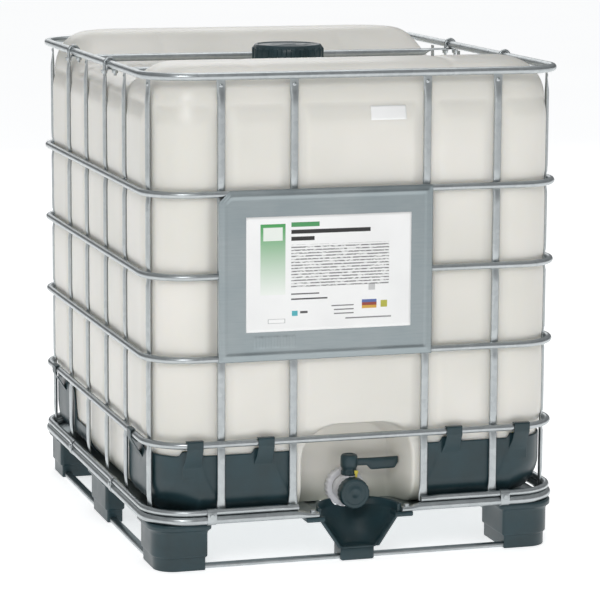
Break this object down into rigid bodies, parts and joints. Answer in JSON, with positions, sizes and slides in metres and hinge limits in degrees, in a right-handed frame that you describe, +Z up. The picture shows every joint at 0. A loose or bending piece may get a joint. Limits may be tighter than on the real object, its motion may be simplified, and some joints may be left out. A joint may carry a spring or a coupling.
{
  "type": "intermediate bulk container",
  "caption": "Intermediate bulk container: translucent plastic bottle in a tubular steel cage on a pallet, with a screwed top lid and a lever valve under a dust cap.",
  "frame": {"origin": "middle of the footprint on the floor", "axes": "+X to the right seen from the valve side, +Y from the valve side to the back, +Z up"},
  "size_m": [1.0124, 1.2, 1.154],
  "materials": {
    "polyethylene": "blow-moulded natural high-density polyethylene, translucent ivory, soft gloss",
    "galvanised": "hot-dip galvanised steel tube, bright zinc with faint spangle",
    "plate_steel": "galvanised sheet, satin blue-grey, pressed beads",
    "black_plastic": "moulded black polyethylene, satin with fine mould texture",
    "valve_plastic": "moulded off-white polypropylene",
    "rubber": "matt black elastomer seal",
    "label": null,
    "seal": "moulded yellow plastic tag"
  },
  "bodies": {
    "container": {"rim_hoop": "galvanised", "hoop_1": "galvanised", "hoop_2": "galvanised", "hoop_3": "galvanised", "hoop_4": "galvanised", "base_hoop": "galvanised", "front_bar_1": "galvanised", "rear_bar_1": "galvanised", "front_bar_2": "galvanised", "rear_bar_2": "galvanised", "front_bar_3": "galvanised", "rear_bar_3": "galvanised", "front_bar_4": "galvanised", "rear_bar_4": "galvanised", "left_bar_1": "galvanised", "right_bar_1": "galvanised", "left_bar_2": "galvanised", "right_bar_2": "galvanised", "left_bar_3": "galvanised", "right_bar_3": "galvanised", "left_bar_4": "galvanised", "right_bar_4": "galvanised", "left_bar_5": "galvanised", "right_bar_5": "galvanised", "left_bar_6": "galvanised", "right_bar_6": "galvanised", "front_crossbar": "galvanised", "front_left_ubolt": "galvanised", "front_right_ubolt": "galvanised", "rear_crossbar": "galvanised", "rear_left_ubolt": "galvanised", "rear_right_ubolt": "galvanised", "inner_bottle": "polyethylene", "union_nut": "valve_plastic", "outlet_gasket": "rubber", "valve_body": "valve_plastic", "tamper_seal": "seal", "label_plate": "plate_steel", "label_sheet": "label", "front_left_guard": "black_plastic", "front_right_guard": "black_plastic", "rear_left_guard": "black_plastic", "rear_right_guard": "black_plastic", "pallet_frame": "galvanised", "skid_ring": "galvanised", "front_left_foot": "black_plastic", "front_right_foot": "black_plastic", "rear_right_foot": "black_plastic", "rear_left_foot": "black_plastic", "left_foot": "black_plastic", "right_foot": "black_plastic", "rear_foot": "black_plastic", "valve_tray": "black_plastic", "floor_pan": "galvanised"},
    "lever": {"lever": "black_plastic", "valve_disc": "valve_plastic"},
    "lid_seal": {"lid_gasket": "rubber"},
    "lid": {"lid": "black_plastic"},
    "cap_seal": {"cap_gasket": "rubber"},
    "dust_cap": {"dust_cap": "black_plastic"}
  },
  "joints": [
    {"name": "lever_turn", "type": "hinge", "parent": "container", "child": "lever", "pos_m": [0, -0.5061, 0.2], "axis": [0, 0, 1], "range_deg": [-90, 0]},
    {"name": "lid_lift", "type": "slide", "parent": "container", "child": "lid_seal", "axis": [0, 0, 1], "range_m": [0, 0.0281]},
    {"name": "lid_turn", "type": "hinge", "parent": "lid_seal", "child": "lid", "pos_m": [0, 0, 1.12], "axis": [0, 0, 1], "range_deg": [0, 1440]},
    {"name": "cap_draw", "type": "slide", "parent": "container", "child": "cap_seal", "axis": [0, -1, 0], "range_m": [0, 0.0211]},
    {"name": "cap_turn", "type": "hinge", "parent": "cap_seal", "child": "dust_cap", "pos_m": [0, -0.54, 0.15], "axis": [0, -1, 0], "range_deg": [0, 1260]}
  ],
  "couplings": [
    {"joint": "lid_lift", "follows": "lid_turn", "m_per_rad": 0.0011141},
    {"joint": "cap_draw", "follows": "cap_turn", "m_per_rad": 0.00095493}
  ]
}
